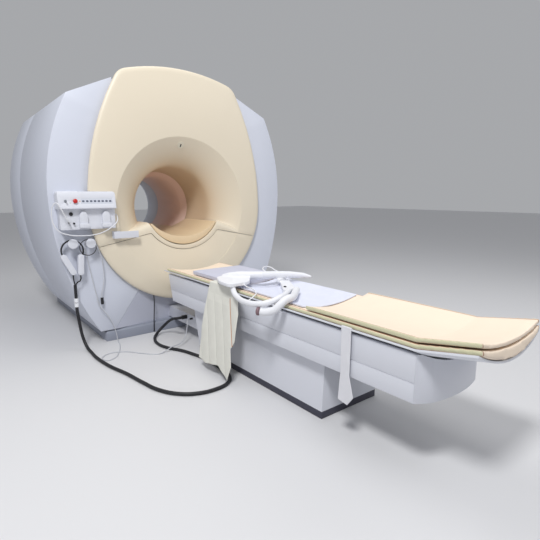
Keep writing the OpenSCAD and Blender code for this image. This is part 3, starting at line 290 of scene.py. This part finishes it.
# %% Cord helper
def cord_curve(name, route, diameter, material, node):
    """A smooth round cord through the points of a route given in millimetres."""
    curve = bpy.data.curves.new(name, "CURVE")
    curve.dimensions = "3D"
    curve.bevel_depth = diameter / 2
    curve.bevel_resolution = 5
    curve.resolution_u = 8
    curve.use_fill_caps = True
    spline = curve.splines.new("BEZIER")
    spline.bezier_points.add(len(route) - 1)
    for point, place in zip(spline.bezier_points, route):
        point.co = Vector(place) * MM
        point.handle_left_type = point.handle_right_type = "AUTO"
    piece = bpy.data.objects.new(name, curve)
    scene.collection.objects.link(piece)
    curve.materials.append(material)
    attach(piece, body_of[node])
    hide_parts(node)
    length = sum(s.calc_length() for s in curve.splines)
    print(name, "length", round(length, 3))
    return piece, length


# %% [markdown]
# The hose of the headphones is a stiff 25 mm rubber tube. It hangs from its trunk, turns
# onto the floor in a wide arc and comes back to the duct, so its points keep their height
# at half its width wherever it lies.

# %% Headset hose
HOSE_D = 0.025
FLOOR_HOSE = 12.5
hose_route = [
    (-1005, -961, 360.7), (-1005, -961, 335), (-1000, -962, 280), (-993, -966, 200),
    (-984, -976, 120), (-972, -1000, 55), (-965, -1045, 22), (-963, -1130, FLOOR_HOSE),
    (-966, -1270, FLOOR_HOSE), (-940, -1510, FLOOR_HOSE), (-890, -1730, FLOOR_HOSE),
    (-858, -1930, FLOOR_HOSE), (-816, -2115, FLOOR_HOSE), (-735, -2245, FLOOR_HOSE),
    (-645, -2305, FLOOR_HOSE), (-530, -2325, FLOOR_HOSE), (-417, -2297, FLOOR_HOSE),
    (-345, -2214, FLOOR_HOSE), (-315, -2060, FLOOR_HOSE), (-311, -1811, FLOOR_HOSE),
    (-335, -1690, FLOOR_HOSE), (-370, -1555, FLOOR_HOSE), (-440, -1400, FLOOR_HOSE),
    (-458, -1278, FLOOR_HOSE), (-425, -1130, FLOOR_HOSE), (-375, -1050, 20), (-325, -1020, 46),
    (-285, -1040, 90), (-265, -1100, 140), (-255, -1170, 172), (-245, -1222, 186),
    (-225, -1229, 188), (-205.3, -1229, 188)]
hose, hose_length = cord_curve("headset_hose_rubber", hose_route, HOSE_D, hose_rubber,
                               "headset_hose")

# %% [markdown]
# The thin grey cable runs from its plug over the right hook and down to the floor, makes
# a loop there and crosses to the duct. Like the hose, it could be a swept tube, but a
# curve keeps its section round in every bend and its length is known.

# %% Hook cable
CABLE_D = 0.008
hook_cable_route = [
    (-795, -940, 402.3), (-795, -940, 430), (-782, -941, 490), (-769, -942, 560),
    (-768, -942, 640), (-782, -942, 760), (-810, -942, 845), (-841, -942, 888),
    (-855, -942, 900), (-869, -942, 904), (-884, -942, 900), (-897, -942, 886),
    (-901, -942, 860), (-901, -942, 820), (-893, -943, 750), (-868, -944, 600),
    (-842, -948, 440), (-822, -950, 340), (-758, -941, 240), (-710, -938, 130),
    (-692, -938, 60), (-690, -950, 18), (-696, -990, 4), (-715, -1080, 4), (-785, -1251, 4),
    (-860, -1355, 4), (-915, -1366, 4), (-932, -1320, 4), (-910, -1262, 4), (-845, -1226, 4),
    (-745, -1257, 4), (-639, -1388, 4), (-541, -1480, 4), (-480, -1474, 14), (-415, -1460, 31),
    (-355, -1432, 24), (-300, -1405, 30), (-250, -1375, 66), (-222, -1350, 120),
    (-208, -1334, 160), (-200, -1324, 182), (-190, -1320, 190), (-176.3, -1320, 190)]
hook_cable, hook_cable_length = cord_curve("hook_cable_sleeve", hook_cable_route, CABLE_D,
                                           cable_sleeve, "hook_cable")

# %% [markdown]
# The cord of the hand units passes round the left side of the control box, and a short
# black cable drops from under the front cover. Both hang free between two fixed ends.

# %% Handset cord and drop cable
DROP_D = 0.009
handset_cord_route = [
    (-661.7, -980, 1102), (-650, -980, 1102), (-641, -990, 1080), (-655, -1020, 1045),
    (-705, -1043, 1005), (-780, -1048, 965), (-850, -1052, 948), (-940, -1052, 944),
    (-1040, -1045, 956), (-1105, -1035, 985), (-1138, -1030, 1035), (-1148, -1034, 1107),
    (-1136, -1044, 1180), (-1116, -1056, 1200), (-1092, -1062, 1165), (-1065, -1060, 1110),
    (-1042, -1052, 1066), (-1030, -1040, 1050), (-1025, -1030, 1047), (-1025, -1018.3, 1047)]
drop_cable_route = [
    (-322, -906, 440), (-322, -907, 400), (-322, -907, 352), (-324, -914, 335),
    (-326, -922, 300), (-332, -924, 200), (-338, -924, 100), (-340, -925, 50),
    (-340.5, -926, 28), (-341, -924, 14), (-341, -915.3, 14)]
handset_cord, handset_cord_length = cord_curve("handset_cord_sleeve", handset_cord_route, CABLE_D,
                                               handset_sleeve, "handset_cord")
drop_cable, drop_cable_length = cord_curve("drop_cable_rubber", drop_cable_route, DROP_D,
                                           hose_rubber, "drop_cable")

# %% [markdown]
# A moulded or folded cover has no knife-sharp edges. Each rigid node's mesh is copied,
# its triangles are joined at their corners, its edges get a small round, and it is
# shaded smooth up to an angle. The copy stands for the node.

# %% Copies that stand for nodes
def deselect():
    bpy.ops.object.select_all(action="DESELECT")


def active(piece):
    deselect()
    piece.select_set(True)
    bpy.context.view_layer.objects.active = piece


def own_copy(node, name, material):
    """A copy of a node's solid, as a piece of its own that stands for it."""
    source = frame["nodes"][node]
    piece = source.copy()
    piece.data = source.data.copy()
    piece.name = name
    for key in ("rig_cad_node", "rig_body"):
        if key in piece:
            del piece[key]
    piece.parent = None
    scene.collection.objects.link(piece)
    piece.data.materials.clear()
    piece.data.materials.append(material)
    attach(piece, body_of[node])
    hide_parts(node)
    return piece


# %% Soft-edged covers
SHARP_ANGLE = math.radians(32)
SAME_POINT = 0.00002


def soft_edged(node, round_mm):
    """A cover whose edges get a round, where its faces meet at more than SHARP_ANGLE."""
    piece = own_copy(node, node + "_cover", slot_paint[slot_of[node]])
    active(piece)
    bpy.ops.object.mode_set(mode="EDIT")
    bpy.ops.mesh.select_all(action="SELECT")
    bpy.ops.mesh.remove_doubles(threshold=SAME_POINT)
    bpy.ops.mesh.customdata_custom_splitnormals_clear()
    bpy.ops.object.mode_set(mode="OBJECT")
    if round_mm:
        bevel = piece.modifiers.new("round", "BEVEL")
        bevel.width = round_mm * MM
        bevel.segments = 2
        bevel.limit_method = "ANGLE"
        bevel.angle_limit = SHARP_ANGLE
        bevel.harden_normals = False
        bpy.ops.object.modifier_apply(modifier="round")
    bpy.ops.object.shade_smooth_by_angle(angle=SHARP_ANGLE)
    deselect()
    return piece


rounds = {
    "base_plate": 3, "front_cover_upper": 1.5, "front_cover_lower": 1.5, "lower_front_panel": 0,
    "side_cover_left": 4, "side_cover_right": 4, "side_cover_rear_left": 4,
    "side_cover_rear_right": 4, "rear_cover": 3, "top_cover": 3, "bore_liner": 0,
    "bore_bridge": 2, "control_box": 2.5, "stop_button": 0.5, "cable_hooks": 2,
    "front_shelf": 1.5, "headphone_band": 1.5, "headphone_cups": 3, "handsets": 2,
    "table_base_plate": 3, "pedestal_shroud": 3, "cable_duct": 5, "beam_cover_left": 4,
    "beam_cover_right": 4, "beam_end_cover": 4, "beam_head_cover": 2, "tabletop": 3,
}
covers = {node: soft_edged(node, width) for node, width in rounds.items()}
print("covers:", len(covers), "faces:", sum(len(c.data.polygons) for c in covers.values()))

# %% [markdown]
# The upholstery is foam in a sewn vinyl cover, which swells between its seams. Each pad
# starts as its solid with an even skin of small faces, drawn in a little. A cloth
# simulation then blows it up for twenty frames, and no point moves further than it was
# drawn in, so that a pad stays in its own space.

# %% Upholstery paints
QUILT_PITCH = 0.02
QUILT_DEPTH = 0.0024
RIM_SHADE_LINE = 0.006


def vinyl(name, colour, edge_colour, rim_shade_colour, edge_x, rim_shade_x):
    """Soft vinyl with quilted edges of another colour, and a painted shade line in brown along the
    rim beside them.
    """
    paint = Paint(name, 0.5)
    place = paint.place()
    side = paint.axis(place, "X").size()
    cloud = paint.noise(place, 9.0)
    tone = paint.blend(cloud * 0.2, linear(*colour), linear(*(c * 0.88 for c in colour)))
    # painted shade: a thin brown line along the rim, beside the edge, where the mattress turns
    # into shade
    rim = side.above(rim_shade_x, 0.001) * (1 - side.above(rim_shade_x + RIM_SHADE_LINE, 0.001))
    tone = paint.blend(rim, tone, linear(*rim_shade_colour))
    edge = side.above(edge_x, 0.002)
    tone = paint.blend(edge, tone, linear(*edge_colour))
    paint.surface("Base Color", tone)
    paint.surface("Roughness", paint.noise(place, 14.0) * 0.2 + 0.42)
    along = paint.axis(place, "Y")
    stitches = paint.node("ShaderNodeMath", {"operation": "PINGPONG"},
                          {0: along, 1: QUILT_PITCH})
    quilt = stitches * 40.0
    creases = paint.noise(paint.scaled(place, (3.0, 1.0, 3.0)), 26.0, 4.0)
    paint.bump(quilt * edge + creases * 0.5, QUILT_DEPTH, 0.5)
    return paint.material


WEAVE_DEPTH = 0.0016


def woven(name, colour, thread=900.0, tint=None):
    """Plain cloth with a fine weave and a little unevenness."""
    paint = Paint(name, 0.85)
    place = paint.place()
    cloud = paint.noise(place, 12.0)
    tone = paint.blend(cloud * 0.4, linear(*colour), linear(*(c * 0.86 for c in colour)))
    paint.surface("Base Color", tint(paint, place, tone) if tint else tone)
    weave = paint.noise(paint.scaled(place, (1.0, 1.0, 0.3)), thread, 2.0)
    folds = paint.noise(place, 18.0, 3.0)
    paint.bump(weave * 0.2 + folds, WEAVE_DEPTH, 0.45)
    return paint.material


PIPING_SLANT = 0.356
PIPING_Y = -2.190
PIPING_Z = 0.562


def piping(paint, place, tone):
    """The brown edging of the cloth's front layer, a slanted line down its foot side."""
    aside = paint.axis(place, "Y") - (paint.axis(place, "Z") - PIPING_Z) * PIPING_SLANT
    gap = (aside - PIPING_Y).size()
    hanging = 1 - paint.axis(place, "Z").above(PIPING_Z, 0.004)
    return paint.blend((1 - gap.above(0.003, 0.002)) * hanging, tone, linear(186, 128, 92))


MAT_COLOUR = (248, 230, 209)
OLIVE = (208, 205, 172)
RIM_SHADE_BROWN = (176, 132, 104)
mat_vinyl = vinyl("mat_vinyl", MAT_COLOUR, OLIVE, RIM_SHADE_BROWN, 0.266, 0.258)
pad_fabric = woven("pad_fabric", (222, 225, 240))
head_fabric = woven("head_fabric", (200, 202, 218))
cloth_fabric = woven("cloth_fabric", (224, 223, 214), tint=piping)
strap_fabric = woven("strap_fabric", (226, 226, 231), 1500.0)


# %% [markdown]
# A solid from the frame has few, long faces. A voxel skin gives it small even ones that
# can bend, and a little smoothing takes the steps out of the skin and rounds its corners.

# %% Even skin
def even_skin(piece, voxel):
    active(piece)
    remesh = piece.modifiers.new("skin", "REMESH")
    remesh.mode = "VOXEL"
    remesh.voxel_size = voxel
    bpy.ops.object.modifier_apply(modifier="skin")
    bpy.ops.object.shade_smooth()


def eased(piece, rounds_of_it):
    """Rounds off the corners and the joins of a skin."""
    active(piece)
    smooth = piece.modifiers.new("ease", "SMOOTH")
    smooth.factor = 0.5
    smooth.iterations = rounds_of_it
    bpy.ops.object.modifier_apply(modifier="ease")


# %% [markdown]
# Each pad swells by two to four millimetres: the thick mattress and the folded mat by
# three, the soft cushion under the head by four and the thin flat cushion by two.

# %% Padded pieces
LAST_FRAME = 20
PRESSURE = 4.0


def swollen(piece, cap):
    """Draws a skin in by cap, then blows it up by cloth simulation, by cap at most."""
    mesh = piece.data
    start = [v.co - v.normal * cap for v in mesh.vertices]
    for vertex, place in zip(mesh.vertices, start):
        vertex.co = place
    active(piece)
    cloth = piece.modifiers.new("air", "CLOTH")
    cloth.settings.quality = 4
    cloth.settings.use_pressure = True
    cloth.settings.uniform_pressure_force = PRESSURE
    cloth.settings.effector_weights.gravity = 0
    cloth.point_cache.frame_end = LAST_FRAME
    for number in range(1, LAST_FRAME + 1):
        scene.frame_set(number)
    bpy.ops.object.modifier_apply(modifier="air")
    scene.frame_set(1)
    for vertex, place in zip(piece.data.vertices, start):
        step = vertex.co - place
        if step.length > cap:
            vertex.co = place + step * (cap / step.length)


def pad(node, name, material, voxel, cap):
    """A padded piece: skin, rounded corners, then swelling."""
    piece = own_copy(node, name, material)
    even_skin(piece, voxel)
    eased(piece, 6)
    swollen(piece, cap)


pad("mattress", "mattress_pad", mat_vinyl, 0.009, 0.003)
pad("foot_mattress", "folded_mat", mat_vinyl, 0.007, 0.003)
pad("head_pad", "head_cushion", head_fabric, 0.006, 0.004)
pad("flat_pad", "flat_cushion", pad_fabric, 0.005, 0.002)

# %% [markdown]
# The cloth over the table's edge and the strap are thin sheets. Seams run down the cloth
# beside its edging, a channel's width apart, and its filling bulges between them. The
# seams follow the slant of the edging, so they are worked out from the same line.

# %% Cloth and strap
CHANNEL = 0.105
BULGE = 0.006
FADE = 0.05

cloth = own_copy("cloth", "edge_cloth", cloth_fabric)
even_skin(cloth, 0.003)
eased(cloth, 3)
for vertex in cloth.data.vertices:
    aside = vertex.co.y - PIPING_Y - (vertex.co.z - PIPING_Z) * PIPING_SLANT
    hanging = min(1.0, max(0.0, (PIPING_Z - vertex.co.z) / FADE))
    vertex.co.x -= BULGE * hanging * math.sqrt(abs(math.sin(aside / CHANNEL * math.pi)))

strap = own_copy("strap", "edge_strap", strap_fabric)
even_skin(strap, 0.0018)
eased(strap, 3)

# %% [markdown]
# The coil is one flexible moulding: a hoop, a plate and a thick rounded wing. Its solid
# has sharp joins between these, so it gets an even skin whose joins are eased, as the
# foam casing of such coils has.

# %% Coil
coil_foam = sprayed("coil_foam", (230, 231, 236), 0.5, peel=0.0003)
cap_rubber = cord_rubber("cap_rubber", (118, 94, 100))
for node, name in (("coil_hoop", "coil_casing"), ("coil_arm", "coil_tail")):
    casing = own_copy(node, name, coil_foam)
    even_skin(casing, 0.004)
    eased(casing, 10)

# %% [markdown]
# Some small nodes are of one solid but two colours: white collars on black leads, dark
# keys on a pale sheet and a slit in the light's window. Where the second colour goes is
# worked out from the place on the piece.

# %% Small rigid nodes with two colours
TILT = math.radians(10.3)
PANEL_FOOT_Y = -1.045
PANEL_FOOT_Z = 1.151
KEY_GRAIN = 300.0
SHARP_STEP = 0.0005


def two_tone(name, grain, first, second, share_of):
    """A material of two colours; share_of says where the second one goes."""
    paint = Paint(name, 0.5)
    place = paint.place()
    share = share_of(paint, place)
    paint.surface("Base Color", paint.blend(share, linear(*first), linear(*second)))
    paint.bump(paint.noise(place, grain), 0.00008, 0.4)
    return paint.material


def in_collars(paint, place):
    """The two white collars, by their height."""
    high = paint.axis(place, "Z")
    low_one = high.above(0.3605, SHARP_STEP) * (1 - high.above(0.394, SHARP_STEP))
    return low_one + high.above(0.3985, SHARP_STEP) * (1 - high.above(0.432, SHARP_STEP))


def on_keys(paint, place):
    """The keys, which stand out of the sloping panel."""
    out = paint.axis(place, "Z") * math.sin(TILT) - paint.axis(place, "Y") * math.cos(TILT)
    panel = PANEL_FOOT_Z * math.sin(TILT) - PANEL_FOOT_Y * math.cos(TILT)
    return out.above(panel + 0.0003, 0.0002)


WINDOW_Z = 1.703


def in_slit(paint, place):
    """The upright slit in the middle of the light's window."""
    side = paint.axis(place, "X").size()
    rise = (paint.axis(place, "Z") - WINDOW_Z).size()
    return (1 - side.above(0.006, SHARP_STEP)) * (1 - rise.above(0.012, SHARP_STEP))


finishes = {
    "cable_collars": two_tone("leads_and_collars", KEY_GRAIN, (30, 30, 34), (232, 233, 238),
                              in_collars),
    "key_pad": two_tone("key_sheet", KEY_GRAIN, (206, 210, 220), (92, 98, 116), on_keys),
    "alignment_lights": two_tone("light_window", 200.0, (226, 219, 200), (30, 30, 36), in_slit),
}

# %% [markdown]
# A dark ring of thin cable hangs on the right hook. A torus is all it takes, because a
# coiled cable that hangs from one point stays close to a circle.

# %% Hook ring
RING_PLACE = (-0.8847, -0.965, 0.8396)
deselect()
bpy.ops.mesh.primitive_torus_add(major_radius=0.064, minor_radius=0.003, major_segments=72,
                                 minor_segments=12, rotation=(math.pi / 2, 0, 0),
                                 location=RING_PLACE)
ring = bpy.context.object
ring.name = "hook_ring"
bpy.ops.object.transform_apply(location=True, rotation=True, scale=True)
bpy.ops.object.shade_smooth()
ring.data.materials.append(hose_rubber)
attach(ring, "scanner")
deselect()

# %% [markdown]
# Small round parts stand on other pieces: the rubber cap on the coil's tail, the dark stud
# on its paddle and the two lamps beside the stop button. Each is a cylinder whose rim is
# rounded, so one function makes them all.

# %% Small parts
def stud(name, place, out, radius, height, material, body, rim=0.4):
    """A short round part that stands out of a surface; sizes are in millimetres."""
    out = Vector(out).normalized()
    deselect()
    bpy.ops.mesh.primitive_cylinder_add(
        vertices=48, radius=radius * MM, depth=height * MM,
        location=Vector(place) * MM + out * (height / 2 + 0.3) * MM,
        rotation=out.to_track_quat("Z", "Y").to_euler())
    piece = bpy.context.object
    piece.name = name
    bpy.ops.object.transform_apply(location=True, rotation=True, scale=True)
    bevel = piece.modifiers.new("rim", "BEVEL")
    bevel.width = rim * MM
    bevel.segments = 4
    bpy.ops.object.modifier_apply(modifier="rim")
    bpy.ops.object.shade_smooth_by_angle(angle=math.radians(40))
    piece.data.materials.append(material)
    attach(piece, body)
    deselect()


PANEL_OUT = (0, -math.cos(TILT), math.sin(TILT))
lamp_amber = plain("lamp_amber", (226, 158, 60), 0.25, depth=0.00001)
lamp_green = plain("lamp_green", (150, 190, 90), 0.25, depth=0.00001)


def on_panel(x, up):
    """A place on the sloping panel, from its foot up."""
    return (x, PANEL_FOOT_Y / MM + up * math.sin(TILT), PANEL_FOOT_Z / MM + up * math.cos(TILT))


stud("tail_cap", (-400, -2645, 585), (-22, 31, 1), 25, 22, cap_rubber, "top", 9)
stud("paddle_stud", (-16, -2418, 642), (0, 0, 1), 10, 6.4, black_plastic, "top",
     1.5)
stud("lamp_one", on_panel(-940, 62), PANEL_OUT, 4, 2, lamp_amber, "scanner")
stud("lamp_two", on_panel(-1012, 50), PANEL_OUT, 3, 2, lamp_green, "scanner")

# %% [markdown]
# The nodes that no piece stands for keep their own shape and get a material. The hidden
# ones get theirs too, so that nothing is left with the frame's plain colours.

# %% Other nodes
slot_paint |= {"mattress_vinyl": mat_vinyl, "pad_grey": head_fabric, "pad_lavender": pad_fabric,
               "cloth_cream": cloth_fabric, "strap_white": strap_fabric,
               "black_hose": hose_rubber, "grey_cable": cable_sleeve}
for node, piece in frame["nodes"].items():
    piece.data.materials.clear()
    piece.data.materials.append(finishes.get(node, slot_paint[slot_of[node]]))

# %% [markdown]
# The stage is a plain pale floor. The main light comes from the front left and above, as
# in the photo, where the coil's shadow falls down the side of the table. A weak light
# from the right and one from the top keep the shadows open.

# %% Stage and light
FLOOR_SIZE = 60
bpy.ops.mesh.primitive_plane_add(size=FLOOR_SIZE, location=(0, 0, 0))
floor = bpy.context.object
floor.name = "floor"
floor_paint = Paint("floor_paint", 0.6)
floor_paint.surface("Base Color", linear(214, 214, 216))
floor.data.materials.append(floor_paint.material)
deselect()

world = bpy.data.worlds.new("world")
world.use_nodes = True
scene.world = world
sky = world.node_tree.nodes["Background"]
sky.inputs["Color"].default_value = linear(236, 238, 242)
SKY_LIGHT = 0.46
sky.inputs["Strength"].default_value = SKY_LIGHT


def lamp(name, place, aim, size, power):
    """A round area light that looks at a point."""
    light = bpy.data.lights.new(name, "AREA")
    light.shape = "DISK"
    light.size = size
    light.energy = power
    piece = bpy.data.objects.new(name, light)
    piece.location = place
    piece.rotation_euler = (Vector(aim) - Vector(place)).to_track_quat("-Z", "Y").to_euler()
    scene.collection.objects.link(piece)


lamp("key_light", (-2.9, -4.4, 5.4), (0, -1.6, 0.8), 1.3, 235)
lamp("fill_light", (3.5, -4.5, 3.6), (0, -1.2, 1.0), 3.0, 45)
lamp("top_light", (0.5, -0.8, 6.0), (0, -0.8, 0), 3.5, 70)

# %% [markdown]
# Colours stay as they were mixed, with no film look on top.

# %% Finish
scene.view_settings.view_transform = "Standard"
